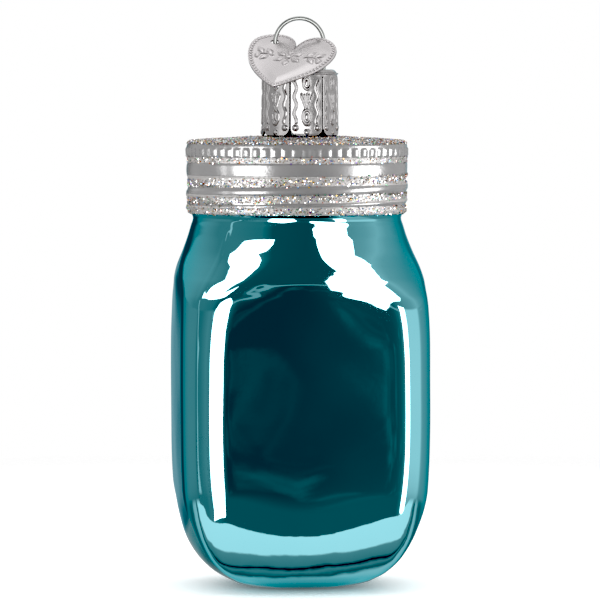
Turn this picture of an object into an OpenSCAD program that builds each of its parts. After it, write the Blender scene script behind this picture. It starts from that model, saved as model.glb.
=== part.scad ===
// Hanging tree ornament: a blown-glass copy of a square canning jar with its
// screw lid, a stamped hanger cap, a spring-wire loop and a small heart tag.
// Millimetres. Origin at the centre of the base, +Z up, front face towards -Y.

/* [Jar] */
// Distance between two opposite flat sides
across_flats = 42.3; // [30:0.1:80]
// Radius of the upright corners
corner_r = 6.65; // [3:0.05:12]
// Glass thickness
wall = 1; // [0.6:0.1:2]
// Thickness of each applied film: lacquer, lid paint, silvering
film = 0.1; // [0.05:0.01:0.2]

/* [Lid] */
// Radius of the lid between its raised beads
lid_r = 18.75; // [14:0.05:30]
// Height at which the lid starts
lid_z = 64.1; // [50:0.1:100]
// Number of ridges in the knurled band
ridges = 68; // [24:1:120]
// Thickness of the glitter
glitter_t = 0.2; // [0.1:0.05:0.5]

/* [Hanger] */
// Outer radius of the hanger cap at its lower edge
cap_r = 6.58; // [4:0.02:10]
// Height of the cap's lower edge
cap_z = 77.75; // [60:0.05:110]
// Height of the cap
cap_h = 11.3; // [6:0.05:16]
// Thickness of the cap's sheet metal
sheet = 0.3; // [0.2:0.05:0.6]
// Number of petals around the cap
petals = 7; // [4:1:12]
// Turn of the first slit from +X, in degrees
slit_turn = 45; // [0:1:60]
// Diameter of the wire
wire_d = 0.7; // [0.5:0.05:1.2]
// Distance between the two legs of the wire
leg_gap = 8.36; // [5:0.02:12]
// Height of the loop's centre
loop_z = 93.65; // [80:0.05:120]
// Height of the tips of the legs inside the neck
leg_tip_z = 70; // [60:0.5:78]

/* [Tag] */
// Thickness of the tag's plate
tag_t = 0.35; // [0.2:0.05:1]
// Height of the raised edge above the plate
tag_edge = 0.2; // [0.1:0.05:0.5]
// Tilt of the tag's face from straight up, in degrees
tag_tilt = 31.6; // [0:0.1:80]
// Sideways lean of the tag, in degrees
tag_lean = 3.5; // [-20:0.1:20]
// Turn of the tag about the upright wire, in degrees
tag_turn = -23.6; // [-90:0.1:90]

/* [Hidden] */
$fn = 96;
half = across_flats / 2;
flat = half - corner_r;
leg_x = leg_gap / 2;
wire_r = wire_d / 2;
clear = 0.01;
neck_r = 5.6;
bore_r = 4.7;
neck_top = 87.5;
cap_top = cap_z + cap_h;
hole = [-3.9, 3];
hole_z = 93.4;

// Reach of the corners at each height: [radius, height], base to neck.
corner_line = [
  [0, 0], [7, 0], [11.2, 0.8], [16.2, 2.3], [19.9, 4.3], [22.4, 6.8], [24.3, 9.8], [25.7, 13.2],
  [26.7, 18], [27.7, 24], [27.9, 30], [27.7, 38], [27.2, 42], [26.9, 45], [26.4, 48.3],
  [25.3, 50.6], [23.6, 52.4], [21.8, 53.8], [20.75, 55.2], [19.7, 58], [18.9, 60.3], [18.25, 62.3],
  [17.95, 64], [17.95, 66]
];

// Half-width of the flat sides at each height, base to neck.
side_line = [
  [0, 0], [6.4, 0], [9.1, 0.86], [12.7, 1.9], [15.9, 4], [17.8, 6], [19.1, 8.2], [20, 10.7],
  [20.6, 13.2], [20.95, 17.4], [half + 0.05, 23], [half + 1, 30], [half + 1, 66]
];

// Outline of the lid: [radius, height], from the middle of its underside up and over the top.
lid_line = [
  [0, lid_z], [17.7, lid_z], [18.4, lid_z + 0.2], [lid_r, lid_z + 0.7], [lid_r, lid_z + 1.8],
  [lid_r + 0.25, lid_z + 2], [lid_r + 0.25, lid_z + 2.3], [lid_r, lid_z + 2.5],
  [lid_r, lid_z + 3.6], [lid_r + 0.2, lid_z + 3.9], [lid_r + 0.3, lid_z + 4.45],
  [lid_r + 0.2, lid_z + 5], [lid_r, lid_z + 5.3], [lid_r, lid_z + 6.6],
  [lid_r + 0.2, lid_z + 6.8], [lid_r + 0.2, lid_z + 9], [lid_r, lid_z + 9.2],
  [lid_r, lid_z + 10], [lid_r + 0.2, lid_z + 10.1], [lid_r + 0.2, lid_z + 11.6],
  [lid_r - 0.05, lid_z + 11.95], [lid_r - 0.35, lid_z + 12.3], [lid_r - 0.95, lid_z + 12.45],
  [14, lid_z + 12.9], [9, lid_z + 13.3], [0, lid_z + 13.5]
];
ridge_z = lid_z + 10.15;
ridge_h = 1.4;

// The plain inside of the lid's glass.
lid_inside = [
  [0, lid_z + 1.1], [lid_r - 1.9, lid_z + 1.1], [lid_r - 1.3, lid_z + 1.4],
  [lid_r - 1.1, lid_z + 2.1], [lid_r - 1.1, lid_z + 10.8], [lid_r - 1.5, lid_z + 11.6],
  [lid_r - 2, lid_z + 11.7], [9, lid_z + 12.2], [0, lid_z + 12.4]
];

// Moves each point of a base-to-top outline inwards by d, square to the outline.
function inset(line, d) = [
  for (i = [0 : len(line) - 1])
    let (
      a = line[max(i - 1, 0)],
      b = line[min(i + 1, len(line) - 1)],
      way = (b - a) / norm(b - a),
      r = line[i][0] - d * way[1]
    )
    [line[i][0] == 0 ? 0 : max(r, 0), line[i][1] + d * way[0]]
];

// A line of [half-width, height] points mirrored into a closed outline.
function mirrored(line) = concat(
  [for (i = [len(line) - 1 : -1 : 0]) [-line[i][0], line[i][1]]],
  [for (i = [1 : len(line) - 1]) line[i]]
);

module rounded_square(side, r) {
  square([2 * side, 2 * (side - r)], center = true);
  square([2 * (side - r), 2 * side], center = true);
  for (x = [-1, 1], y = [-1, 1]) translate([x * (side - r), y * (side - r)]) circle(r = r);
}

module spun(line) {
  top = line[len(line) - 1];
  rotate_extrude() polygon(top[0] == 0 ? line : concat(line, [[0, top[1]]]));
}

// The square jar with its shoulder, reduced all round by d.
module jar_shape(d) {
  sides = inset(side_line, d);
  intersection() {
    translate([0, 0, -1]) linear_extrude(height = 70) rounded_square(half - d, corner_r - d);
    spun(inset(corner_line, d));
    rotate([90, 0, 0]) translate([0, 0, -40]) linear_extrude(height = 80)
      polygon(mirrored(sides));
    rotate([90, 0, 90]) translate([0, 0, -40]) linear_extrude(height = 80)
      polygon(mirrored(sides));
  }
}

// The outside of the lid with its knurled band, reduced all round by d.
module lid_shape(d) {
  spun(inset(lid_line, d));
  translate([0, 0, ridge_z]) linear_extrude(height = ridge_h)
    polygon([for (i = [0 : 2 * ridges - 1])
      let (r = lid_r + (i % 2 == 0 ? 0.42 : 0.2) - d, a = i * 180 / ridges)
      [r * cos(a), r * sin(a)]]);
}

// The hollow inside the glass, reduced all round by d.
module hollow(d) {
  jar_shape(film + wall + d);
  spun(inset(lid_inside, d));
}

module bore() {
  translate([0, 0, lid_z + 8]) cylinder(r = bore_r, h = 30);
}

module glass_body() {
  color([0.75, 0.85, 0.86, 0.6]) difference() {
    union() {
      jar_shape(film);
      lid_shape(film);
      translate([0, 0, lid_z + 12.9]) cylinder(r = neck_r, h = neck_top - lid_z - 12.9);
    }
    hollow(0);
    bore();
  }
}

// Silvering on the inside of the glass.
module mirror_lining() {
  color([0.9, 0.9, 0.92]) difference() {
    hollow(0);
    hollow(film);
    bore();
  }
}

// Clear teal lacquer over the jar, up to the edge of the lid.
module teal_lacquer() {
  color([0.05, 0.36, 0.4]) difference() {
    jar_shape(0);
    jar_shape(film);
    translate([0, 0, lid_z]) cylinder(r = 30, h = 10);
  }
}

// Satin silver paint over the lid.
module lid_paint() {
  color([0.68, 0.67, 0.67]) difference() {
    lid_shape(0);
    lid_shape(film);
    translate([0, 0, lid_z - 1]) cylinder(r = 17.95, h = 3);
    translate([0, 0, lid_z + 12]) cylinder(r = neck_r, h = 3);
  }
}

// A band of glitter around the lid between two heights.
module glitter_band(low, high) {
  color([0.86, 0.86, 0.86]) rotate_extrude()
    translate([lid_r, lid_z + low]) square([glitter_t, high - low]);
}

// A layer of glitter over the lid's domed top, up to the neck.
module glitter_top() {
  dome = [for (i = [len(lid_line) - 4 : len(lid_line) - 1]) lid_line[i]];
  color([0.86, 0.86, 0.86]) difference() {
    rotate_extrude() polygon(concat(
      [for (p = dome) p + [0, clear]],
      [for (i = [3 : -1 : 0]) dome[i] + [0, glitter_t]]
    ));
    translate([0, 0, lid_z + 12]) cylinder(r = neck_r + 0.2, h = 3);
  }
}

// Sheet-metal cap with rounded shoulders, split into petals around its side.
module hanger_cap() {
  color([0.78, 0.78, 0.78]) difference() {
    rotate_extrude() polygon([
      [cap_r, cap_z], [cap_r - 0.15, cap_top - 0.95], [cap_r - 0.27, cap_top - 0.45],
      [cap_r - 0.57, cap_top - 0.12], [cap_r - 1, cap_top], [0, cap_top],
      [0, cap_top - sheet], [cap_r - 1.05, cap_top - sheet], [cap_r - 0.75, cap_top - 0.4],
      [cap_r - 0.53, cap_top - 0.65], [cap_r - 0.15 - sheet, cap_top - 1],
      [cap_r - sheet, cap_z]
    ]);
    for (i = [0 : petals - 1]) rotate([0, 0, slit_turn + i * 360 / petals])
      rotate([90, 0, 90]) translate([0, 0, cap_r - 1.4]) linear_extrude(height = 3)
        polygon([
          [-1.35, cap_z - 1], [1.35, cap_z - 1], [1.35, cap_z + 0.3], [0.17, cap_z + 2.2],
          [0.17, cap_top - 1], [-0.17, cap_top - 1], [-0.17, cap_z + 2.2], [-1.35, cap_z + 0.3]
        ]);
    for (x = [-leg_x, leg_x]) translate([x, 0, cap_top - 2]) cylinder(r = wire_r + 0.07, h = 3);
  }
}

// One length of spring wire: a half-round loop with a leg down each side of the neck.
module hanger_wire() {
  color([0.62, 0.63, 0.62]) {
    translate([0, 0, loop_z]) rotate([90, 0, 0]) rotate_extrude(angle = 180)
      translate([leg_x, 0]) circle(r = wire_r, $fn = 24);
    for (x = [-leg_x, leg_x]) translate([x, 0, leg_tip_z])
      cylinder(r = wire_r, h = loop_z - leg_tip_z, $fn = 24);
  }
}

module heart(grow) {
  for (x = [-3.85, 3.85]) translate([x, 1.9]) circle(r = 3.9 + grow);
  side = [
    [7.75, 1.6], [7.6, -0.6], [7.2, -2.4], [6.5, -4.2], [5.4, -5.9], [3.9, -7.5], [2.4, -8.9],
    [1.1, -10.1]
  ];
  shrink = 1 + grow / 7.75;
  polygon(concat(
    [[0, 2.2], [3.85, 3]],
    [for (p = side) shrink * p],
    [shrink * [0, -10.75]],
    [for (i = [len(side) - 1 : -1 : 0]) shrink * [-side[i][0], side[i][1]]],
    [[-3.85, 3]]
  ));
}

// Heart tag threaded on the left leg of the loop, leaning out over the front of the cap.
module heart_tag() {
  color([0.78, 0.76, 0.76]) translate([-leg_x, 0, hole_z])
    rotate([tag_tilt, tag_lean, tag_turn]) translate([-hole[0], -hole[1], -tag_t / 2])
      difference() {
        union() {
          linear_extrude(height = tag_t) heart(0);
          linear_extrude(height = tag_t + tag_edge) difference() {
            heart(0);
            heart(-0.75);
          }
        }
        translate([hole[0], hole[1], -1]) cylinder(r = 0.75, h = 3);
      }
}

glass_body();
mirror_lining();
teal_lacquer();
lid_paint();
glitter_top();
glitter_band(9.22, 9.98);  // glitter_rim
glitter_band(5.35, 6.55);  // glitter_upper
glitter_band(2.55, 3.55);  // glitter_middle
glitter_band(0.72, 1.78);  // glitter_lower
hanger_cap();
hanger_wire();
heart_tag();
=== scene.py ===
"""Looks for the hanging glass jar ornament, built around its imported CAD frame.

Lengths in the mesh code are in millimetres and become metres when a mesh is made. Materials and the camera
use metres. Azimuth 0 is the camera's side of the jar (-Y, turned by VIEW_AZIMUTH), positive to the right."""

import math

import bpy
import numpy as np
from mathutils import Euler, Matrix, Vector


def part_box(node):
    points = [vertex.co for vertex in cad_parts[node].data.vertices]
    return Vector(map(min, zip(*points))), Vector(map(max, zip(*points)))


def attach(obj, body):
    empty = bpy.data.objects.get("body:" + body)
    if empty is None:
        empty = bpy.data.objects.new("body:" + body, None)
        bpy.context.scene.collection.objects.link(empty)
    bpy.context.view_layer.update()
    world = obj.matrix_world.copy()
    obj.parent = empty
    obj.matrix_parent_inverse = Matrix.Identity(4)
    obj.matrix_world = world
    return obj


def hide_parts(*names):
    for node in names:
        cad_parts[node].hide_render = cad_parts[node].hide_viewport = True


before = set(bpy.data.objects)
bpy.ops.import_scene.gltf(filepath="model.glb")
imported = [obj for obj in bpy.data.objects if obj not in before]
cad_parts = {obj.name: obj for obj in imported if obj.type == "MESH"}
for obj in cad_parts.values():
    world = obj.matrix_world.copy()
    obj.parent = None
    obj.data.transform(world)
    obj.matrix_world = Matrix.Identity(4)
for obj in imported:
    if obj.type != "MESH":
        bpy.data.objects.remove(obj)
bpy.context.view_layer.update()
rng = np.random.default_rng(20)
TAU = 2 * math.pi
# Where the camera stands, in degrees about the jar from its front.
VIEW_AZIMUTH = -5.0

cap_low, cap_high = (v * 1000 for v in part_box("hanger_cap"))
wire_low, wire_high = (v * 1000 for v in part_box("hanger_wire"))
glass_low, glass_high = (v * 1000 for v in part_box("glass_body"))
lid_low, lid_high = (v * 1000 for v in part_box("lid_paint"))
WIRE_R = (wire_high.y - wire_low.y) / 2
LEG_X = (wire_high.x - wire_low.x) / 2 - WIRE_R
NECK_R, BORE_R = 5.6, 4.7
LID_Z = lid_low.z


# ---------------------------------------------------------------- mesh helpers
def smoothstep(low, high, x):
    t = np.clip((x - low) / (high - low), 0, 1)
    return t * t * (3 - 2 * t)


def curve_through(points, count):
    """Points evenly spaced by length on a smooth curve through the given ones, in any dimension."""
    p = np.array(points, float)
    ends = np.vstack([2 * p[0] - p[1], p, 2 * p[-1] - p[-2]])
    fine = []
    t = np.linspace(0, 1, 24, endpoint=False)[:, None]
    for a, b, c, d in zip(ends, ends[1:], ends[2:], ends[3:]):
        square = 2 * a - 5 * b + 4 * c - d
        cube = 3 * b - a - 3 * c + d
        fine.append(0.5 * (2 * b + (c - a) * t + square * t**2 + cube * t**3))
    fine = np.vstack(fine + [p[-1:]])
    run = np.concatenate([[0], np.cumsum(np.linalg.norm(np.diff(fine, axis=0), axis=1))])
    at = np.linspace(0, run[-1], count)
    return np.column_stack([np.interp(at, run, fine[:, k]) for k in range(fine.shape[1])])


def ring_normals(grid):
    """Outward normals of a grid of closed rings, row by row from the base up."""
    along = np.gradient(grid, axis=0)
    around = np.roll(grid, -1, axis=1) - np.roll(grid, 1, axis=1)
    n = np.cross(around, along)
    return n / np.maximum(np.linalg.norm(n, axis=2, keepdims=True), 1e-12)


def add_mesh(name, verts, faces, body, materials, indices=None, smooth=True):
    """A mesh object from millimetres. It rides on a body unless the body is None."""
    mesh = bpy.data.meshes.new(name)
    mesh.from_pydata([tuple(v) for v in np.asarray(verts) * 0.001], [], faces)
    mesh.validate()
    for m in materials:
        mesh.materials.append(m)
    if indices is not None:
        mesh.polygons.foreach_set("material_index", indices)
    mesh.polygons.foreach_set("use_smooth", [smooth] * len(mesh.polygons))
    mesh.update()
    obj = bpy.data.objects.new(name, mesh)
    bpy.context.scene.collection.objects.link(obj)
    if body:
        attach(obj, body)
    return obj


def ring_faces(rows, cols, closed_path=False):
    """Faces between neighbouring rings, and from the last ring to the first when the path is closed."""
    faces = []
    for r in range(rows if closed_path else rows - 1):
        a, b = r * cols, (r + 1) % rows * cols
        faces += [(a + c, a + (c + 1) % cols, b + (c + 1) % cols, b + c) for c in range(cols)]
    return faces


def shell(outer, inner):
    """A closed skin between two stacks of rings that run from the same end."""
    path = np.concatenate([outer, inner[::-1]])
    return path.reshape(-1, 3), ring_faces(len(path), outer.shape[1], closed_path=True)


def capped_shell(outer, inner):
    """A closed skin that is open only at its top: each stack of rings starts at a point on the axis."""
    cols = outer.shape[1]
    path = np.concatenate([outer[1:], inner[:0:-1]])
    verts = np.vstack([path.reshape(-1, 3), outer[0].mean(0), inner[0].mean(0)])
    faces = ring_faces(len(path), cols)
    first, last, top = len(path) * cols, len(path) * cols + 1, (len(path) - 1) * cols
    faces += [(first, (c + 1) % cols, c) for c in range(cols)]
    faces += [(last, top + c, top + (c + 1) % cols) for c in range(cols)]
    return verts, faces


# ---------------------------------------------------------------- material helpers
def new_material(name):
    mat = bpy.data.materials.new(name)
    mat.use_nodes = True
    nodes = mat.node_tree.nodes
    return mat, nodes, mat.node_tree.links, nodes["Principled BSDF"]


def metal(name, light, dark, roughness, grain, bump, coat=0.0, metallic=1.0, tone_scale=120.0):
    """A metal whose tone drifts between two colours, with fine grain in its roughness and relief."""
    mat, nodes, links, bsdf = new_material(name)
    where = nodes.new("ShaderNodeTexCoord")
    tone = nodes.new("ShaderNodeTexNoise")
    tone.inputs["Scale"].default_value = tone_scale
    tone.inputs["Detail"].default_value = 4
    links.new(where.outputs["Object"], tone.inputs["Vector"])
    mix = nodes.new("ShaderNodeMix")
    mix.data_type = "RGBA"
    mix.inputs["A"].default_value = (*dark, 1)
    mix.inputs["B"].default_value = (*light, 1)
    links.new(tone.outputs["Fac"], mix.inputs["Factor"])
    links.new(mix.outputs["Result"], bsdf.inputs["Base Color"])
    fine = nodes.new("ShaderNodeTexNoise")
    fine.inputs["Scale"].default_value = grain
    fine.inputs["Detail"].default_value = 3
    links.new(where.outputs["Object"], fine.inputs["Vector"])
    rough = nodes.new("ShaderNodeMapRange")
    rough.inputs["To Min"].default_value = roughness * 0.75
    rough.inputs["To Max"].default_value = roughness * 1.25
    links.new(fine.outputs["Fac"], rough.inputs["Value"])
    links.new(rough.outputs["Result"], bsdf.inputs["Roughness"])
    relief = nodes.new("ShaderNodeBump")
    relief.inputs["Strength"].default_value = bump
    relief.inputs["Distance"].default_value = 0.00005
    links.new(fine.outputs["Fac"], relief.inputs["Height"])
    links.new(relief.outputs["Normal"], bsdf.inputs["Normal"])
    bsdf.inputs["Metallic"].default_value = metallic
    bsdf.inputs["Coat Weight"].default_value = coat
    bsdf.inputs["Coat Roughness"].default_value = 0.03
    return mat


teal = metal("teal_mirror", (0.25, 0.5, 0.55), (0.22, 0.47, 0.52), 0.03, 900, 0.02, 0.45, tone_scale=60)
teal.node_tree.nodes["Principled BSDF"].inputs["Specular Tint"].default_value = (0.2, 0.6, 0.66, 1)
lid_silver = metal("lid_silver", (0.38, 0.377, 0.377), (0.33, 0.327, 0.327), 0.2, 2600, 0.4, metallic=0.5)
cap_metal = metal("stamped_silver", (0.6, 0.59, 0.59), (0.48, 0.47, 0.47), 0.2, 1500, 0.15)
wire_metal = metal("spring_wire", (0.5, 0.51, 0.5), (0.4, 0.41, 0.4), 0.22, 1800, 0.1)
tag_metal = metal("tag_silver", (0.7, 0.677, 0.682), (0.6, 0.577, 0.582), 0.28, 1600, 0.2)
mirror_metal = metal("silvering", (0.9, 0.9, 0.91), (0.8, 0.8, 0.82), 0.08, 700, 0.1)
neck_glass = metal("silvered_neck", (0.7, 0.73, 0.73), (0.6, 0.63, 0.63), 0.09, 500, 0.08)
glue = metal("glitter_bed", (0.52, 0.505, 0.5), (0.36, 0.35, 0.345), 0.4, 5000, 1.0, metallic=0.35)

# Glitter: name, colour and share of the flakes.
FLAKE_TONES = [
    ("silver", (0.8, 0.79, 0.78), 0.6), ("champagne", (0.78, 0.68, 0.56), 0.12),
    ("rose", (0.82, 0.5, 0.46), 0.06), ("green", (0.42, 0.72, 0.5), 0.05),
    ("blue", (0.4, 0.6, 0.88), 0.07), ("gold", (0.82, 0.58, 0.25), 0.045),
    ("orange", (0.82, 0.36, 0.16), 0.025), ("violet", (0.52, 0.4, 0.8), 0.03),
]
flake_metals = []
for tone_name, colour, _ in FLAKE_TONES:
    mat, _, _, bsdf = new_material("flake_" + tone_name)
    bsdf.inputs["Base Color"].default_value = (*colour, 1)
    bsdf.inputs["Metallic"].default_value = 1.0
    bsdf.inputs["Roughness"].default_value = 0.22
    flake_metals.append(mat)
FLAKE_SHARE = np.array([share for _, _, share in FLAKE_TONES])
FLAKE_SHARE = FLAKE_SHARE / FLAKE_SHARE.sum()


# ---------------------------------------------------------------- jar
JAR_COLS = 288
# Height, reach of the flat sides, and reach of the corners, from the middle of the base up to the neck.
JAR_SECTIONS = [
    (0, 0.01, 0.01), (0, 2, 2), (0, 4, 4), (0.1, 5.6, 5.9), (0.4, 7.9, 8.6), (0.9, 10.2, 11.7),
    (1.6, 12.2, 14.5), (2.3, 13.6, 16.4), (3.1, 14.9, 18.2), (4, 16, 19.6), (5, 17, 20.9), (6, 17.8, 21.9),
    (7.05, 18.5, 22.75), (8.1, 19.07, 23.5), (9.1, 19.5, 24.1), (10.15, 19.87, 24.62), (12.2, 20.4, 25.4),
    (14.3, 20.78, 25.97), (17.4, 21.02, 26.6), (22.5, 21.22, 27), (28.7, 21.3, 27.13), (36, 21.32, 27.12),
    (41, 21.33, 27.08), (45, 21.34, 26.88), (48.3, 21.35, 26.5), (49.6, 21.35, 26.2), (50.5, 21.35, 25.85),
    (51.3, 21.34, 25.35), (52.2, 21.32, 24.7), (53.2, 21.24, 23.9), (54.2, 21.02, 23), (55.3, 20.7, 22.05),
    (56.6, 20.26, 21), (58, 19.72, 20.05), (60.3, 18.88, 18.92), (61.7, 18.44, 18.44), (62.5, 18.2, 18.2),
    (63.1, 17.98, 17.98), (63.45, 17.9, 17.9), (63.8, 17.93, 17.93), (64.2, 18.1, 18.1), (64.7, 18.45, 18.45),
]
# How far the middle of each flat side stands out from its ends, and how much more near base and shoulder.
FLAT_BOW, BASE_BOW, SHOULDER_BOW = 0.2, 1.8, 0.3
# The lid sits a little off the axis of the hanger's neck, and the jar less so.
LEAN = -0.42


def square_radius(half, reach, angle):
    """Distance to a rounded square's edge at each angle, with flats at 0, 90, 180 and 270 degrees.

    The second result is the share of the way from a flat's middle to its end."""
    t = np.abs((angle + TAU / 8) % (TAU / 4) - TAU / 8)
    flat = (reach - half) / (math.sqrt(2) - 1)
    corner = half - flat
    side = half / np.cos(t)
    middle = flat * (np.cos(t) + np.sin(t))
    rounded = middle + np.sqrt(np.maximum(middle**2 - 2 * flat**2 + corner**2, 0))
    off = np.clip(half * np.tan(t) / np.maximum(flat, 0.01), 0, 1)
    return np.where(half * np.tan(t) <= flat, side, rounded), off


def jar_grid(rows):
    table = curve_through(JAR_SECTIONS, 900)
    # Rings are spread by length along the corner's line, closer together near the neck and the base.
    run = np.concatenate([[0], np.cumsum(np.hypot(np.diff(table[:, 0]), np.diff(table[:, 2])))])
    fine = 1 + 2.5 * smoothstep(60, 62, table[:, 0]) + 0.8 * (1 - smoothstep(6, 14, table[:, 0]))
    fine += 0.8 * smoothstep(48, 50, table[:, 0]) * (1 - smoothstep(55, 58, table[:, 0]))
    run = np.concatenate([[0], np.cumsum(np.diff(run) * fine[1:])])
    at = np.linspace(0, run[-1], rows)
    z, half, corner = (np.interp(at, run, table[:, k])[:, None] for k in range(3))
    angle = np.arange(JAR_COLS) / JAR_COLS * TAU + TAU / 8
    bow = FLAT_BOW + BASE_BOW * (1 - smoothstep(7, 18, z)) + SHOULDER_BOW * smoothstep(42, 53, z)
    bow = bow * smoothstep(0.3, 3, z) * (1 - smoothstep(51, 56, z))
    radius, off = square_radius(half, np.maximum(corner, half + 0.01) + bow, angle[None, :])
    radius = radius - bow * off**2
    soft = np.exp(-0.5 * (np.arange(-4, 5) / 1.4) ** 2)
    radius = sum(w * np.roll(radius, k - 4, axis=1) for k, w in enumerate(soft / soft.sum()))
    # Hand-blown unevenness, then the mould's seam down two opposite corners.
    wave = np.zeros_like(radius)
    for turns, pitch, size in ((2, 41, 0.03), (3, 23, 0.02), (5, 17, 0.012), (7, 29, 0.012), (11, 13, 0.006)):
        around, along = rng.uniform(0, TAU, 2)
        wave += size * np.sin(turns * angle + around) * np.sin(TAU * z / pitch + along)
    radius = radius + wave * smoothstep(0, 8, z) * (1 - smoothstep(58, 62, z))
    from_seam = np.abs((angle - TAU / 8 + TAU / 4) % (TAU / 2) - TAU / 4)[None, :] * radius
    seam = 0.07 * np.exp(-0.5 * (from_seam / 0.22) ** 2)
    radius += seam * smoothstep(0.2, 2, z) * (1 - smoothstep(61, 62, z))
    x = radius * np.cos(angle) + LEAN * (0.35 + 0.65 * smoothstep(46, 63, z))
    return np.dstack([x, radius * np.sin(angle), np.broadcast_to(z, radius.shape)])


jar = jar_grid(250)
jar_normal = ring_normals(jar)
jar_normal[:3] = (0, 0, -1)


def jar_inset(depth, step=1):
    return (jar - depth * jar_normal)[::step]


verts, faces = capped_shell(jar, jar_inset(0.1, 5))
lacquer = add_mesh("teal_lacquer_skin", verts, faces, "glass", [teal])
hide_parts("teal_lacquer")

# ---------------------------------------------------------------- lid
LID_COLS = 816
# Radius and height of the lid's outside, without the helical thread and the knurling.
LID_LINE = [
    (18.15, 64.45), (18.4, 64.46), (18.6, 64.62), (18.71, 64.95), (18.76, 65.5), (18.76, 67), (18.76, 70.3),
    (18.8, 70.75), (18.93, 71.05), (18.99, 71.9), (18.97, 72.8), (18.85, 73.15), (18.8, 73.6), (18.86, 74),
    (18.94, 74.3), (18.97, 75.5), (18.95, 75.95), (18.84, 76.35), (18.58, 76.66), (18.2, 76.82), (17.6, 76.9),
    (14, 77.12), (11, 77.28), (9, 77.4), (6.8, 77.5), (NECK_R + 0.08, 77.54),
]
THREAD_PITCH = 2.4
THREAD_Z = 68.5
RIDGES = 68
lid_angle = np.arange(LID_COLS) / LID_COLS * TAU - TAU / 4


def thread_rise(angle):
    """How far the helical thread has climbed at each angle, level at the front's middle."""
    turn = (angle + TAU / 4 + TAU / 2) % TAU - TAU / 2
    return THREAD_PITCH * turn / TAU


def lid_grid(rows):
    line = curve_through(LID_LINE, 1200)
    run = np.concatenate([[0], np.cumsum(np.linalg.norm(np.diff(line, axis=0), axis=1))])
    fine = 0.35 + smoothstep(64, 64.5, line[:, 1]) * (line[:, 0] > 18)
    run = np.concatenate([[0], np.cumsum(np.diff(run) * fine[1:])])
    at = np.linspace(0, run[-1], rows)
    radius, z = (np.interp(at, run, line[:, k])[:, None] for k in (0, 1))
    angle = lid_angle[None, :]
    rise = thread_rise(angle)
    turn = rise / THREAD_PITCH
    side = np.where(radius > 18.4, 1.0, 0.0)
    bulge = np.zeros((rows, LID_COLS))
    for lap, size, width in ((0, 0.3, 0.62), (-1, 0.2, 0.3), (1, 0.3, 0.62)):
        # The thread fades out behind the jar at its upper end, and at the lid's edge at its lower end.
        fade = {0: 1.0, -1: smoothstep(-0.5, -0.3, turn), 1: 1 - smoothstep(-0.5, -0.32, turn)}[lap]
        centre = THREAD_Z + rise + lap * THREAD_PITCH
        bulge += size * fade * np.exp(-np.abs((z - centre) / width) ** 3)
    ribs = (0.5 + 0.5 * np.cos(RIDGES * angle)) ** 0.7
    bulge += 0.19 * ribs * smoothstep(74.05, 74.45, z) * (1 - smoothstep(75.45, 75.8, z))
    wobble = 0.03 * np.sin(3 * angle + 1) * np.sin(z * 1.3) + 0.02 * np.sin(7 * angle + 2 * z)
    radius = radius + side * (bulge + wobble * smoothstep(64.3, 65.5, z))
    top = np.where(side > 0, 0, 0.03 * np.sin(4 * angle + radius) * smoothstep(6.5, 9, radius))
    lean = LEAN * smoothstep(NECK_R, NECK_R + 4, radius)
    return np.dstack([radius * np.cos(angle) + lean, radius * np.sin(angle), z + top])


lid = lid_grid(104)
lid_normal = ring_normals(lid)
verts, faces = shell(lid, (lid - 0.1 * lid_normal)[::6])
paint = add_mesh("lid_paint_skin", verts, faces, "glass", [lid_silver])
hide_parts("lid_paint")

# ---------------------------------------------------------------- glass wall and silvering inside it
GLASS_COLS = 96
around = np.arange(GLASS_COLS) / GLASS_COLS * TAU + TAU / 8


def spun(line, count):
    """Rings turned from a line of radius and height, leaning with the lid except at the hanger's neck."""
    radius, z = np.split(curve_through(line, count), 2, axis=1)
    x = radius * np.cos(around) + LEAN * smoothstep(NECK_R, NECK_R + 4, radius)
    return np.dstack([x, radius * np.sin(around), np.repeat(z, GLASS_COLS, 1)])


def jar_rings(depth):
    """The jar's rings below its neck, sunk by a depth."""
    rings = jar_inset(depth, 6)[:, ::JAR_COLS // GLASS_COLS]
    return rings[rings[:, 0, 2] < 61]


def inside_rings(wall=0.0, corner=0.0, roof=0.0):
    """The glass's inside from the jar's neck to the bore, drawn in by a little for the film on it."""
    return spun([
        (17.2 - wall, 61.8), (16.7 - wall, 62.9), (16.6 - wall, 63.8), (16.9 - wall, 64.9),
        (17.6 - wall, 65.6), (17.65 - roof, 75), (16.8 - corner, 75.7 - roof), (9, 76.2 - roof),
        (BORE_R + 0.8, 76.4 - roof),
    ], 16)


neck_top = glass_high.z
outer = np.concatenate([
    jar_rings(0.12),
    spun([
        (18.2, 61.8), (17.7, 62.9), (17.6, 63.6), (17.8, 64.4), (18.4, 65.1), (18.5, 70.5), (18.6, 72),
        (18.55, 75.9), (17.6, 76.6), (14, 76.9), (9, 77.24), (5.9, 77.38),
    ], 30),
    spun([
        (NECK_R, 77.5), (NECK_R, neck_top - 0.6), (NECK_R - 0.06, neck_top - 0.2),
        (NECK_R - 0.25, neck_top - 0.02),
    ], 14),
])
inner = np.concatenate([
    jar_rings(1.1),
    inside_rings(),
    spun([
        (BORE_R, 76.8), (BORE_R, neck_top - 0.5), (BORE_R + 0.06, neck_top - 0.2),
        (BORE_R + 0.25, neck_top - 0.02),
    ], 12),
])
verts, faces = capped_shell(outer, inner)
glass = add_mesh("blown_glass_wall", verts, faces, "glass", [neck_glass])
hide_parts("glass_body")
outer = np.concatenate([jar_rings(1.12), inside_rings(0.04, 0.04, 0.05)])
inner = np.concatenate([jar_rings(1.22), inside_rings(0.14, 0.1, 0.15)])
verts, faces = capped_shell(outer, inner)
silver = add_mesh("mirror_film", verts, faces, "glass", [mirror_metal])
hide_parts("mirror_lining")

# ---------------------------------------------------------------- glitter
HEX = np.arange(6) / 6 * TAU


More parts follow.
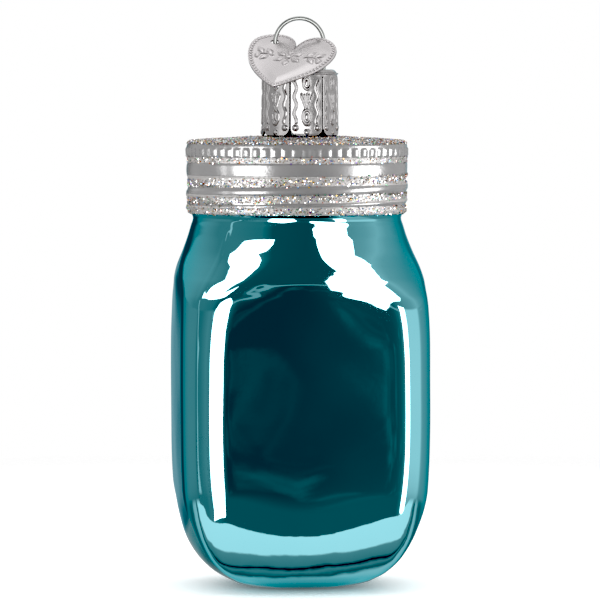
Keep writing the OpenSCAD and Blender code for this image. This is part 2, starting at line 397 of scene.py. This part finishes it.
def lid_place(row, col):
    """Points and normals at fractional rows and columns of the lid's surface."""
    r0 = np.clip(row.astype(int), 0, len(lid) - 2)
    c0 = col.astype(int) % LID_COLS
    c1 = (c0 + 1) % LID_COLS
    fr, fc = (row - r0)[:, None], (col - np.floor(col))[:, None]

    def blend(g):
        low = g[r0, c0] * (1 - fc) + g[r0, c1] * fc
        high = g[r0 + 1, c0] * (1 - fc) + g[r0 + 1, c1] * fc
        return low * (1 - fr) + high * fr

    return blend(lid), blend(lid_normal)


def flakes(points, normals, verts, faces, indices):
    """Adds one tilted hexagonal flake at each point: a flat face with its back drawn to a point below it."""
    n = len(points)
    size = rng.uniform(0.1, 0.17, n)
    tilt = rng.normal(0, 0.36, (n, 3))
    up = normals + tilt
    up /= np.linalg.norm(up, axis=1, keepdims=True)
    side = np.cross(up, rng.normal(size=(n, 3)))
    side /= np.linalg.norm(side, axis=1, keepdims=True)
    other = np.cross(up, side)
    lift = rng.uniform(0.05, 0.13, n)[:, None]
    middle = points + normals * lift
    rim = middle[:, None] + size[:, None, None] * (
        np.cos(HEX)[None, :, None] * side[:, None] + np.sin(HEX)[None, :, None] * other[:, None])
    back = middle - up * 0.06
    tone = rng.choice(len(FLAKE_TONES), n, p=FLAKE_SHARE)
    base = len(verts)
    for i in range(n):
        verts.extend(rim[i])
        verts.append(back[i])
        a = base + 7 * i
        faces.append(tuple(range(a, a + 6)))
        faces.extend((a + (k + 1) % 6, a + k, a + 6) for k in range(6))
        indices.extend([int(tone[i]) + 1] * 7)


def glitter(name, node, density, count, bed_low, bed_high):
    """Scatters flakes over the lid where density(angle, z, radius) says, on a thin rough bed of glue."""
    body, n = (g[bed_low:bed_high + 1, ::2] for g in (lid, lid_normal))
    bumps = rng.uniform(0, 0.035, body.shape[:2] + (1,))
    edge = np.ones((len(body), 1, 1))
    edge[0] = edge[-1] = 0
    verts, faces = shell(body + n * (0.015 + edge * (0.02 + bumps)), body - n * 0.02)
    verts, indices = list(verts), [0] * len(faces)
    row = np.clip(rng.uniform(bed_low - 2, bed_high + 2, count), 0, len(lid) - 1.001)
    points, normals = lid_place(row, rng.uniform(0, LID_COLS, count))
    radius = np.hypot(points[:, 0], points[:, 1])
    angle = np.arctan2(points[:, 1], points[:, 0])
    # Towards the middle of the flat top each row is shorter, so a place counts by its radius.
    keep = rng.uniform(0, 1, count) < density(angle, points[:, 2], radius) * radius / 19
    flakes(points[keep], normals[keep], verts, faces, indices)
    obj = add_mesh(name, verts, faces, "glass", [glue] + flake_metals, indices, smooth=False)
    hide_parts(node)
    lid_glitter.append(obj)


def rows_between(low, high):
    """First and last row of the lid's side between two heights."""
    z = lid[:, LID_COLS // 4, 2]
    hit = np.where((z >= low) & (z <= high) & (lid[:, 0, 0] ** 2 + lid[:, 0, 1] ** 2 > 18.3**2))[0]
    return int(hit[0]), int(hit[-1])


def thread_band(middle, width):
    return lambda angle, z, radius: np.exp(-np.abs((z - middle - thread_rise(angle)) / width) ** 4)


def level_band(middle, width):
    return lambda angle, z, radius: np.exp(-np.abs((z - middle) / width) ** 4)


def lid_top(angle, z, radius):
    return np.where(radius > 6, 1.0, 0.0)


lid_glitter = []
glitter("glitter_under_knurl", "glitter_rim", level_band(73.7, 0.55), 1500, *rows_between(73.1, 74.2))
glitter("glitter_upper_groove", "glitter_upper", thread_band(70.1, 0.75), 3600, *rows_between(69.4, 71.0))
glitter("glitter_middle_groove", "glitter_middle", thread_band(67.25, 0.65), 3200, *rows_between(66.5, 67.9))
glitter("glitter_lower_edge", "glitter_lower", level_band(65.1, 0.8), 2600, *rows_between(64.4, 65.9))
top_row = int(np.where(lid[:, 0, 2] > 76.6)[0][0])
glitter("glitter_lid_top", "glitter_top", lid_top, 15000, top_row, len(lid) - 3)


# ---------------------------------------------------------------- hanger cap
PETALS = 7
PETAL_COLS = 60
CAP_ROWS = 130
# Half the width of the slit between two petals, and where the first slit is.
SLIT = 0.13
SLIT_TURN = math.radians(45)
cap_r = (cap_high.x - cap_low.x) / 2
cap_foot, cap_top = cap_low.z, cap_high.z
SLIT_TOP = cap_top - 1.05
# Radius of the rounded corners at each petal's foot.
FOOT_CORNER = 1.3
# How far each petal is flattened, from round towards a flat plate.
FLATTEN = 0.5


def near_line(x, width):
    return np.exp(-(x / width) ** 2)


def oval(x, z, cx, cz, rx, rz):
    return np.sqrt(((x - cx) / rx) ** 2 + ((z - cz) / rz) ** 2)


def petal_relief(x, h):
    """Stamped pattern on one petal. x is across it and h up from its foot."""
    relief = np.zeros_like(x)
    fade = smoothstep(0.2, 0.6, h) * (1 - smoothstep(9.1, 9.7, h))
    wavy = 2.02 + 0.2 * np.cos(TAU * (h - 1.0) / 2.84)
    relief += 0.2 * near_line(np.abs(x) - wavy, 0.17) * fade * smoothstep(1.9, 2.3, h)
    for cx, cz, r in ((-2.0, 1.35, 0.52), (2.0, 1.35, 0.52), (0, 0.62, 0.5)):
        d = np.hypot(x - cx, h - cz) / r
        relief += 0.26 * np.sqrt(np.maximum(1 - d**2, 0))
    low, top = oval(x, h, 0, 3.2, 0.72, 1.2), oval(x, h, 0, 9.0, 0.66, 1.05)
    for o in (low, top):
        relief += 0.2 * near_line(o - 1, 0.2) + 0.16 * np.maximum(1 - (o / 0.62) ** 2, 0)
    cup_half = 0.25 + 0.72 * smoothstep(4.6, 7.1, h)
    cup = smoothstep(4.4, 5, h) * (1 - smoothstep(6.6, 7.5, h))
    relief += 0.2 * cup * near_line(np.abs(x) - cup_half, 0.17)
    relief += 0.18 * cup * near_line(x, 0.12) * smoothstep(5.2, 5.8, h)
    stamens = smoothstep(5.7, 6.2, h) * (1 - smoothstep(6.9, 7.2, h))
    return relief + 0.16 * near_line(np.abs(x) - 0.42, 0.12) * stamens


def build_cap():
    line = curve_through([
        (cap_r, cap_foot), (cap_r - 0.06, cap_foot + 4), (cap_r - 0.15, SLIT_TOP),
        (cap_r - 0.2, cap_top - 0.75), (cap_r - 0.34, cap_top - 0.36), (cap_r - 0.62, cap_top - 0.1),
        (cap_r - 1, cap_top), (4.6, cap_top), (2.5, cap_top), (0.4, cap_top),
    ], 700)
    run = np.concatenate([[0], np.cumsum(np.linalg.norm(np.diff(line, axis=0), axis=1))])
    fine = np.where(line[:, 1] < cap_top - 0.02, 1.0, 0.22)
    run = np.concatenate([[0], np.cumsum(np.diff(run) * fine[1:])])
    at = np.linspace(0, run[-1], CAP_ROWS)
    radius, z = (np.interp(at, run, line[:, k]) for k in (0, 1))
    per = PETAL_COLS + 1
    grid = np.zeros((CAP_ROWS, PETALS * per, 3))
    u = np.linspace(-1, 1, per)
    for r in range(CAP_ROWS):
        rise = z[r] - cap_foot
        gap = SLIT
        if rise < FOOT_CORNER:
            gap += FOOT_CORNER - math.sqrt(max(FOOT_CORNER**2 - (FOOT_CORNER - rise) ** 2, 0))
        half = math.pi / PETALS - gap / cap_r
        for p in range(PETALS):
            middle = SLIT_TURN + (p + 0.5) * TAU / PETALS
            a = middle + u * half
            x = u * half * cap_r
            flat = FLATTEN * (1 - smoothstep(cap_top - 1.6, cap_top - 0.6, z[r]))
            chord = math.cos(0.75 * half) / np.cos(u * half)
            out = radius[r] * (1 + flat * (chord - 1))
            if z[r] < cap_top - 0.5:
                out = out + petal_relief(x, np.full_like(x, rise))
            petal = np.column_stack([out * np.cos(a), out * np.sin(a), np.full(per, z[r])])
            grid[r, p * per:(p + 1) * per] = petal
    cols = PETALS * per
    faces = []
    for r in range(CAP_ROWS - 1):
        for c in range(cols):
            if c % per == per - 1 and z[r + 1] <= SLIT_TOP:
                continue
            n = (c + 1) % cols
            faces.append((r * cols + c, r * cols + n, (r + 1) * cols + n, (r + 1) * cols + c))
    verts = np.vstack([grid.reshape(-1, 3), (0, 0, cap_top)])
    top = (CAP_ROWS - 1) * cols
    faces += [(top + c, top + (c + 1) % cols, len(verts) - 1) for c in range(cols)]
    return verts, faces


def baked(obj):
    """Applies the object's modifiers to its mesh."""
    dg = bpy.context.evaluated_depsgraph_get()
    mesh = bpy.data.meshes.new_from_object(obj.evaluated_get(dg), depsgraph=dg)
    obj.modifiers.clear()
    obj.data = mesh


def drill(obj, places, radius, low, high):
    """Cuts upright round holes."""
    v, f = [], []
    for x, y in places:
        base = len(v)
        for z in (low, high):
            v += [(x + radius * math.cos(a), y + radius * math.sin(a), z) for a in np.arange(24) / 24 * TAU]
        f += [tuple(base + q for q in quad) for quad in ring_faces(2, 24)]
        f += [tuple(range(base + 23, base - 1, -1)), tuple(range(base + 24, base + 48))]
    cutter = add_mesh("drill", v, f, None, [])
    cut = obj.modifiers.new("holes", "BOOLEAN")
    cut.operation, cut.solver, cut.object = "DIFFERENCE", "EXACT", cutter
    baked(obj)
    bpy.data.objects.remove(cutter)


verts, faces = build_cap()
cap = add_mesh("stamped_cap", verts, faces, "cap", [cap_metal])
thick = cap.modifiers.new("sheet", "SOLIDIFY")
thick.thickness, thick.offset, thick.use_even_offset = 0.00028, -1, False
baked(cap)
drill(cap, [(-LEG_X, 0), (LEG_X, 0)], WIRE_R + 0.07, cap_top - 1, cap_top + 1)
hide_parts("hanger_cap")


# ---------------------------------------------------------------- wire loop
def tube(path, radius, sides):
    """A round bar with closed ends along a path in the plane of X and Z."""
    p = np.array(path, float)
    along = np.gradient(p, axis=0)
    along /= np.linalg.norm(along, axis=1, keepdims=True)
    depth = np.array([0, 1.0, 0])
    flat = np.cross(along, depth)
    a = (np.arange(sides) / sides * TAU)[None, :, None]
    rings = p[:, None] + radius * (np.cos(a) * flat[:, None] + np.sin(a) * depth)
    n = len(p)
    verts = np.vstack([rings.reshape(-1, 3), p[0], p[-1]])
    faces = [tuple(reversed(q)) for q in ring_faces(n, sides)]
    faces += [(n * sides, c, (c + 1) % sides) for c in range(sides)]
    faces += [(n * sides + 1, (n - 1) * sides + (c + 1) % sides, (n - 1) * sides + c) for c in range(sides)]
    return verts, faces


loop_z = wire_high.z - WIRE_R - LEG_X
arc = np.linspace(0, math.pi, 60)
path = [(-LEG_X, 0, z) for z in np.linspace(wire_low.z, loop_z, 50, endpoint=False)]
path += [(-LEG_X * math.cos(t), 0, loop_z + LEG_X * math.sin(t)) for t in arc]
path += [(LEG_X, 0, z) for z in np.linspace(loop_z, wire_low.z, 51)[1:]]
verts, faces = tube(path, WIRE_R, 20)
wire = add_mesh("spring_wire_loop", verts, faces, "wire", [wire_metal])
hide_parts("hanger_wire")

# ---------------------------------------------------------------- heart tag
# The hole's place on the tag, its height on the wire, and the tag's turns about X, Y and Z.
TAG_HOLE = (-3.9, 3.0)
TAG_HOLE_Z = 93.4
TAG_TURNS = (31.6, 3.5, -23.6)
# The heart's right half, from its notch round to its point, before it is drawn at HEART_SCALE.
HEART_HALF = [
    (0, 2.25), (0.12, 3.1), (0.55, 4.2), (1.4, 5.1), (2.6, 5.7), (3.9, 5.82), (5.3, 5.35), (6.6, 4.3),
    (7.45, 2.9), (7.75, 1.3), (7.65, -0.5), (7.2, -2.4), (6.4, -4.3), (5.3, -6), (3.95, -7.5), (2.5, -8.85),
    (1.1, -10.05), (0, -10.75),
]
HEART_SCALE = 0.97
BEADS = 66
FLOWER_Y = -1.5
TAG_THICKNESS = 0.3


def leaf(x, y, cx, cy, angle, length, width):
    """1 on the middle of a pointed leaf, falling to 0 at its edge, with a groove along it."""
    dx, dy = x - cx, y - cy
    u = (dx * math.cos(angle) + dy * math.sin(angle)) / length
    v = (-dx * math.sin(angle) + dy * math.cos(angle)) / width
    inside = np.clip(1 - u**2 - np.abs(v) * (1 + 0.6 * np.abs(u)), 0, 1)
    return inside**0.7 * (1 - 0.4 * near_line(v, 0.16) * (np.abs(u) < 0.8))


def tag_relief(x, y):
    """A six-petalled flower in the heart's middle with a leafy branch to each side, alike left and right."""
    relief = 0.3 * np.sqrt(np.maximum(1 - (np.hypot(x, y - FLOWER_Y) / 0.6) ** 2, 0))
    for k in range(6):
        a = (k + 0.5) * TAU / 6
        cx, cy = 1.7 * math.cos(a), FLOWER_Y + 1.7 * math.sin(a)
        relief = np.maximum(relief, 0.3 * leaf(x, y, cx, cy, a, 1.05, 0.72))
    side = np.abs(x)
    stem = FLOWER_Y + 0.45 * np.sin((side - 2.6) * 1.1)
    relief = np.maximum(relief, 0.2 * near_line(y - stem, 0.22) * smoothstep(2.6, 2.9, side) * (side < 5.9))
    for cx, turn in ((3.1, 1.0), (3.5, -1.0), (4.6, 0.9), (4.9, -0.9)):
        cy = FLOWER_Y + 0.45 * math.sin((cx - 2.6) * 1.1)
        middle = cx + 1.15 * math.cos(turn), cy + 1.15 * math.sin(turn)
        relief = np.maximum(relief, 0.28 * leaf(side, y, *middle, turn, 1.2, 0.66))
    return relief


def build_tag():
    half = curve_through(HEART_HALF, 360) * HEART_SCALE
    outline = np.vstack([half, half[-2:0:-1] * (-1, 1)])
    centre = np.array([0, -0.9])
    spread = np.linalg.norm(outline - centre, axis=1)
    step = np.linalg.norm(np.roll(outline, -1, 0) - outline, axis=1)
    run = np.concatenate([[0], np.cumsum(step)[:-1]]) / step.sum()
    # Rows run from the outline inwards, closer together under the beads.
    rim_rows = 1 - np.concatenate([[0, 0.05], np.linspace(0.12, 1, 12)]) / 8
    rows = np.concatenate([rim_rows, np.linspace(rim_rows[-1], 0.02, 66)[1:]])
    x = centre[0] + (outline[:, 0] - centre[0])[None, :] * rows[:, None]
    y = centre[1] + (outline[:, 1] - centre[1])[None, :] * rows[:, None]
    inward = (1 - rows)[:, None] * spread[None, :]
    # A slightly puffed plate with a dip under the notch, bent a little to each side.
    dome = 0.2 * smoothstep(0.3, 3, inward)
    crease = 0.25 * near_line(x, 1.1) * smoothstep(-1, 4, y)
    bend = 0.022 * np.clip(-x - 1, 0, None) ** 2 - 0.014 * np.clip(x - 2.5, 0, None) ** 2
    z = dome - crease + bend
    phase = (run[None, :] * BEADS) % 1 - 0.5
    pitch = step.sum() / BEADS
    d = np.hypot(phase * pitch, inward - 0.46) / 0.34
    beads = 0.15 * np.sqrt(np.maximum(1 - d**2, 0))
    lip = 0.05 * near_line(inward - 0.06, 0.07)
    z_top = z + beads + lip + tag_relief(x, y) * smoothstep(1.0, 1.5, inward)
    top = np.dstack([x, y, z_top + TAG_THICKNESS / 2])
    back = np.dstack([x, y, z - TAG_THICKNESS / 2])[::3]
    # The outline runs clockwise, so both stacks of rings are turned round to face outwards.
    return capped_shell(top[::-1, ::-1], back[::-1, ::-1])


verts, faces = build_tag()
tag = add_mesh("heart_tag_plate", verts, faces, None, [tag_metal])
drill(tag, [TAG_HOLE], 0.7, -3, 3)
turn = Euler([math.radians(a) for a in TAG_TURNS]).to_matrix().to_4x4()
hole, hung = Vector((*TAG_HOLE, 0)) * 0.001, Vector((-LEG_X, 0, TAG_HOLE_Z)) * 0.001
tag.data.transform(Matrix.Translation(hung) @ turn @ Matrix.Translation(-hole))
tag.data.polygons.foreach_set("use_smooth", [True] * len(tag.data.polygons))
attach(tag, "tag")
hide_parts("heart_tag")


# ---------------------------------------------------------------- studio
def build_world():
    world = bpy.data.worlds.new("studio")
    bpy.context.scene.world = world
    world.use_nodes = True
    nodes, links = world.node_tree.nodes, world.node_tree.links
    nodes.clear()

    def put(socket, value):
        if isinstance(value, (int, float)):
            socket.default_value = value
        else:
            links.new(value, socket)

    def calc(kind, a, b=0.0):
        node = nodes.new("ShaderNodeMath")
        node.operation = kind
        put(node.inputs[0], a)
        put(node.inputs[1], b)
        return node.outputs[0]

    def ease(value, low, high, start=0.0, end=1.0):
        node = nodes.new("ShaderNodeMapRange")
        node.interpolation_type = "SMOOTHSTEP"
        put(node.inputs["Value"], value)
        for key, v in (("From Min", low), ("From Max", high), ("To Min", start), ("To Max", end)):
            node.inputs[key].default_value = v
        return node.outputs[0]

    def dot(vector, way):
        node = nodes.new("ShaderNodeVectorMath")
        node.operation = "DOT_PRODUCT"
        links.new(vector, node.inputs[0])
        node.inputs[1].default_value = way
        return node.outputs["Value"]

    def ramp(value, stops):
        """Brightness by azimuth in degrees. Values are held a tenth of their size in the ramp."""
        node = nodes.new("ShaderNodeValToRGB")
        links.new(value, node.inputs[0])
        elements = node.color_ramp.elements
        while len(elements) < len(stops):
            elements.new(0.5)
        for e, (azimuth, level) in zip(elements, stops):
            e.position = (azimuth + 180) / 360
            e.color = (level / 10,) * 3 + (1,)
        return calc("MULTIPLY", node.outputs[0], 10.0)

    def mix(factor, a, b):
        return calc("ADD", calc("MULTIPLY", calc("SUBTRACT", 1.0, factor), a), calc("MULTIPLY", factor, b))

    ray = nodes.new("ShaderNodeTexCoord").outputs["Generated"]
    a = math.radians(VIEW_AZIMUTH)
    right = dot(ray, (math.cos(a), math.sin(a), 0))
    front = dot(ray, (math.sin(a), -math.cos(a), 0))
    up = calc("ARCSINE", dot(ray, (0, 0, 1)))
    up = calc("MULTIPLY", up, 180 / math.pi)
    azimuth = calc("ARCTAN2", right, front)
    share = calc("ADD", calc("DIVIDE", azimuth, TAU), 0.5)
    degrees = calc("MULTIPLY", azimuth, 180 / math.pi)

    def between(value, low, high, soft):
        """1 between two limits, which may be numbers or sockets."""
        rise = calc("DIVIDE", calc("SUBTRACT", value, low), soft)
        fall = calc("DIVIDE", calc("SUBTRACT", high, value), soft)
        return ease(calc("MINIMUM", rise, fall), -0.5, 0.5)

    # Around the room at the jar's own height: a dark gap in front and soft grey walls.
    level = ramp(share, [
        (-180, 0.6), (-172, 0.6), (-165, 0.31), (-148, 0.31), (-140, 0.62), (-106, 0.62), (-80, 0.6),
        (-72, 0.48), (-68, 0.48), (-44, 0.62), (-40, 0.6), (0, 0.46), (4, 0.275), (9, 0.275), (14, 0.315),
        (24, 0.34), (34, 0.4), (38, 0.5), (50, 0.8), (52, 1.3), (95, 1.3), (101, 0.85), (108, 0.75),
        (146, 0.68), (156, 0.5), (170, 0.68),
    ])
    # A narrow bright strip at the left, leaning outwards above the horizon.
    strip_edge = calc("SUBTRACT", -63.5, calc("MULTIPLY", calc("MAXIMUM", up, 0.0), 0.6))
    strip = between(degrees, calc("SUBTRACT", strip_edge, 3.5), strip_edge, 1.5)
    strip = calc("MULTIPLY", strip, between(up, -16, 34, 4))
    # Faint shapes in the dark gap.
    noise = nodes.new("ShaderNodeTexNoise")
    links.new(ray, noise.inputs["Vector"])
    noise.inputs["Scale"].default_value = 16
    noise.inputs["Detail"].default_value = 6
    shapes = calc("MULTIPLY", ease(noise.outputs["Fac"], 0.5, 0.72), between(degrees, 2, 40, 6))
    level = calc("ADD", level, calc("MULTIPLY", shapes, 0.1))
    # Above it, grey walls that are dark in front, and a thin light line where the two meet.
    high = ramp(share, [
        (-180, 0.95), (-150, 0.9), (-118, 0.68), (-98, 0.55), (-76, 0.55), (-40, 0.5), (-28, 0.35),
        (12, 0.33), (24, 0.35), (60, 0.7), (84, 0.8), (100, 0.95), (114, 0.8), (140, 0.7), (165, 0.8),
        (180, 0.95),
    ])
    line = calc("MULTIPLY", between(degrees, -38, 120, 6), between(up, 7.5, 10.5, 1))
    # Below it, and then dark straight down and bright overhead.
    low = ramp(share, [
        (-180, 0.62), (-140, 0.6), (-100, 0.5), (-50, 0.5), (-42, 0.55), (-12, 0.46), (-4, 0.37), (32, 0.37),
        (40, 0.5), (50, 0.9), (90, 0.9), (100, 0.6), (150, 0.7), (180, 0.62),
    ])
    value = mix(ease(up, -20, -8), low, mix(ease(up, 11, 15), level, high))
    value = mix(ease(up, -54, -47), 0.15, value)
    value = calc("MAXIMUM", value, calc("MULTIPLY", line, 0.8))
    value = calc("MAXIMUM", value, calc("MULTIPLY", strip, 1.1))
    value = mix(ease(up, 64, 80), value, 1.6)

    path = nodes.new("ShaderNodeLightPath")
    background = nodes.new("ShaderNodeBackground")
    # The wall behind is tinted, so the jar's edges stay teal where they mirror it at a glancing angle.
    tint = nodes.new("ShaderNodeMix")
    tint.data_type = "RGBA"
    tint.inputs["A"].default_value = (1, 1, 1, 1)
    tint.inputs["B"].default_value = (0.56, 0.8, 0.88, 1)
    away = ease(calc("ABSOLUTE", degrees), 152, 168)
    links.new(calc("MULTIPLY", away, ease(up, 20, 10)), tint.inputs["Factor"])
    shade = nodes.new("ShaderNodeVectorMath")
    shade.operation = "SCALE"
    links.new(tint.outputs["Result"], shade.inputs[0])
    links.new(value, shade.inputs["Scale"])
    # The camera sees plain white.
    colour = nodes.new("ShaderNodeMix")
    colour.data_type = "RGBA"
    links.new(path.outputs["Is Camera Ray"], colour.inputs["Factor"])
    links.new(shade.outputs[0], colour.inputs["A"])
    colour.inputs["B"].default_value = (1, 1, 1, 1)
    # Matt surfaces are lit evenly.
    even = nodes.new("ShaderNodeMix")
    even.data_type = "RGBA"
    links.new(path.outputs["Is Diffuse Ray"], even.inputs["Factor"])
    links.new(colour.outputs["Result"], even.inputs["A"])
    even.inputs["B"].default_value = (1.55, 1.55, 1.55, 1)
    links.new(even.outputs["Result"], background.inputs["Color"])
    out = nodes.new("ShaderNodeOutputWorld")
    links.new(background.outputs[0], out.inputs["Surface"])


PANEL_DISTANCE = 3000


def build_panels():
    """Softboxes around the jar. Each is only seen in the reflections of the pieces it is meant for.

    A panel has a name, a brightness, its left and right edge, and its pieces. An edge lists azimuth and
    height angle in degrees, from the panel's foot to its top."""
    lid_parts = [paint] + lid_glitter
    panels = [
        ("body_left", 7, [(-32, -40), (-32, -22), (-32, -3), (-32, 8), (-26, 22), (-19, 27)],
         [(-4, -40), (-2, -22), (0, -3), (-2, 8), (-10, 22), (-14, 27)], [lacquer]),
        ("body_right", 7, [(43, -33), (43, 16)], [(56, -33), (56, 16)], [lacquer]),
        ("shoulder_left", 7, [(-64, 38), (-84, 42), (-95, 50), (-90, 63)],
         [(-26, 39), (-28, 43), (-46, 47), (-40, 63)], [lacquer]),
        ("shoulder_right", 7, [(14, 3), (14, 20), (16, 28), (22, 36), (22, 42), (22, 50), (24, 56)],
         [(18, 3), (42, 21), (58, 27), (68, 37), (70, 47), (97, 51), (90, 56)], [lacquer]),
        ("lid_line", 5, [(-84, -20), (-84, 16)], [(-80, -20), (-80, 16)], lid_parts),
        ("lid_left", 6, [(-68, -20), (-68, 16)], [(-32, -20), (-32, 16)], lid_parts),
        ("lid_right", 6, [(62, -20), (62, 16)], [(94, -20), (94, 16)], lid_parts),
        ("cap_front", 2.2, [(-12, -30), (-12, 14)], [(28, -30), (28, 14)], [cap, wire, tag]),
        ("cap_left", 0.6, [(-75, -60), (-75, 40)], [(-40, -60), (-40, 40)], [cap, wire, tag]),
    ]
    share = np.linspace(0, 1, 13)
    n = len(share)
    for name, bright, left, right, pieces in panels:
        mat, nodes, links, _ = new_material("softbox_" + name)
        glow = nodes.new("ShaderNodeEmission")
        glow.inputs["Strength"].default_value = bright
        both = nodes.new("ShaderNodeAddShader")
        links.new(glow.outputs[0], both.inputs[0])
        links.new(nodes.new("ShaderNodeBsdfTransparent").outputs[0], both.inputs[1])
        links.new(both.outputs[0], nodes["Material Output"].inputs["Surface"])
        left, right = np.array(left, float), np.array(right, float)
        grid = left[:, None] + (right - left)[:, None] * share[None, :, None]
        way, height = np.radians(grid[..., 0] + VIEW_AZIMUTH), np.radians(grid[..., 1])
        ahead = np.dstack([np.sin(way) * np.cos(height), -np.cos(way) * np.cos(height), np.sin(height)])
        verts = PANEL_DISTANCE * ahead.reshape(-1, 3) + (0, 0, 50)
        faces = [(r * n + c, r * n + c + 1, (r + 1) * n + c + 1, (r + 1) * n + c)
                 for r in range(len(left) - 1) for c in range(n - 1)]
        panel = add_mesh("panel_" + name, verts, faces, None, [mat], smooth=False)
        panel.visible_camera = panel.visible_shadow = False
        panel.visible_diffuse = panel.visible_transmission = False
        lit = bpy.data.collections.new("lit_by_" + name)
        for piece in pieces:
            lit.objects.link(piece)
        panel.light_linking.receiver_collection = lit


def build_floor():
    """A pale floor that fades into the white around it.

    Reflections see a small table top instead, whose light is painted: it glows for them though it is no lamp.
    It ends a little way in front of the jar and has painted shade close to where the jar stands. Lengths in
    this material are in metres."""
    mat, nodes, links, bsdf = new_material("floor_pale")
    bsdf.inputs["Base Color"].default_value = (0.95, 0.95, 0.95, 1)
    bsdf.inputs["Roughness"].default_value = 0.8
    bsdf.inputs["Specular IOR Level"].default_value = 0
    where = nodes.new("ShaderNodeTexCoord").outputs["Object"]

    def ramp(value, low, high, stops):
        spread = nodes.new("ShaderNodeMapRange")
        links.new(value, spread.inputs["Value"])
        spread.inputs["From Min"].default_value, spread.inputs["From Max"].default_value = low, high
        node = nodes.new("ShaderNodeValToRGB")
        links.new(spread.outputs["Result"], node.inputs[0])
        elements = node.color_ramp.elements
        while len(elements) < len(stops):
            elements.new(0.5)
        for e, (place, bright) in zip(elements, stops):
            e.position = (place - low) / (high - low)
            e.color = (bright,) * 3 + (1,)
        return node.outputs[0]

    def vector(kind, *inputs):
        node = nodes.new("ShaderNodeVectorMath")
        node.operation = kind
        for socket, value in zip(node.inputs, inputs):
            if hasattr(value, "links"):
                links.new(value, socket)
            else:
                socket.default_value = value
        return node

    noise = nodes.new("ShaderNodeTexNoise")
    noise.inputs["Scale"].default_value = 220
    noise.inputs["Detail"].default_value = 5
    links.new(where, noise.inputs["Vector"])
    jitter = vector("SCALE", vector("SUBTRACT", noise.outputs["Color"], (0.5, 0.5, 0.5)).outputs[0])
    jitter.inputs["Scale"].default_value = 0.0028
    place = vector("ADD", where, jitter.outputs[0]).outputs[0]
    a = math.radians(VIEW_AZIMUTH)
    ahead = vector("DOT_PRODUCT", place, (math.sin(a), -math.cos(a), 0)).outputs["Value"]
    length = vector("LENGTH", where).outputs["Value"]
    # Painted light of the table top by how far it is in front of the jar's axis, in metres: a lit band in
    # front, with painted shade and dark lines nearer the jar.
    table = ramp(ahead, -0.06, 0.04, [
        (-0.06, 0.2), (-0.02, 0.2), (-0.006, 0.14), (0.003, 0.18), (0.007, 0.36), (0.0125, 0.4),
        (0.0138, 0.12), (0.0148, 0.2), (0.0156, 0.22), (0.0164, 0.05), (0.0174, 0.2), (0.0212, 0.24),
        (0.022, 0.56), (0.034, 0.58),
    ])
    ends = ramp(ahead, 0.03, 0.04, [(0.0334, 0), (0.0338, 1)])
    far = ramp(length, 0.0, 0.3, [(0.12, 0), (0.28, 1)])
    side = ramp(length, 0.0, 0.1, [(0.06, 0), (0.075, 1)])
    # Painted shadow: the reflected table top darkens close to where the jar stands.
    painted_jar_shadow = ramp(length, 0.0, 0.02, [(0.006, 0.3), (0.0145, 1)])
    path = nodes.new("ShaderNodeLightPath")
    # The table top's painted light: an emission seen only in reflections, darkened near the jar by painted
    # shadow.
    glow = nodes.new("ShaderNodeEmission")
    glow.inputs["Strength"].default_value = 2.7
    links.new(vector("MULTIPLY", table, painted_jar_shadow).outputs[0], glow.inputs["Color"])
    clear = nodes.new("ShaderNodeBsdfTransparent")

    def blend(factor, low, high):
        node = nodes.new("ShaderNodeMixShader")
        links.new(factor, node.inputs[0])
        links.new(low, node.inputs[1])
        links.new(high, node.inputs[2])
        return node.outputs[0]

    lift = nodes.new("ShaderNodeEmission")
    lift.inputs["Strength"].default_value = 0.18
    pale = nodes.new("ShaderNodeAddShader")
    links.new(bsdf.outputs[0], pale.inputs[0])
    links.new(lift.outputs[0], pale.inputs[1])
    seen = blend(far, pale.outputs[0], clear.outputs[0])
    mirrored = blend(side, blend(ends, glow.outputs[0], clear.outputs[0]), clear.outputs[0])
    out = blend(path.outputs["Is Glossy Ray"], seen, mirrored)
    links.new(out, nodes["Material Output"].inputs["Surface"])
    edge = [(300 * math.cos(t), 300 * math.sin(t), 0) for t in np.arange(96) / 96 * TAU]
    floor = add_mesh("floor", edge, [tuple(range(96))], None, [mat])


def build_camera():
    cam = bpy.data.cameras.new("camera")
    obj = bpy.data.objects.new("camera", cam)
    bpy.context.scene.collection.objects.link(obj)
    distance, height, width = 0.8, 0.088, 0.1032
    target = Vector((0.0001, 0, 0.0494))
    a = math.radians(VIEW_AZIMUTH)
    obj.location = Vector((math.sin(a) * distance, -math.cos(a) * distance, height))
    obj.rotation_mode = "QUATERNION"
    obj.rotation_quaternion = (target - obj.location).to_track_quat("-Z", "Y")
    cam.sensor_width = 36
    cam.lens = 36 * distance / width
    cam.clip_start, cam.clip_end = 0.1, 10
    bpy.context.scene.camera = obj


build_world()
build_floor()
build_panels()
build_camera()
scene = bpy.context.scene
scene.view_settings.view_transform = "Standard"
scene.view_settings.look = "None"
scene.view_settings.use_curve_mapping = True
# A touch of contrast: everything below the black level turns black.
tone = scene.view_settings.curve_mapping
tone.black_level = (0.12, 0.12, 0.12)
tone.update()
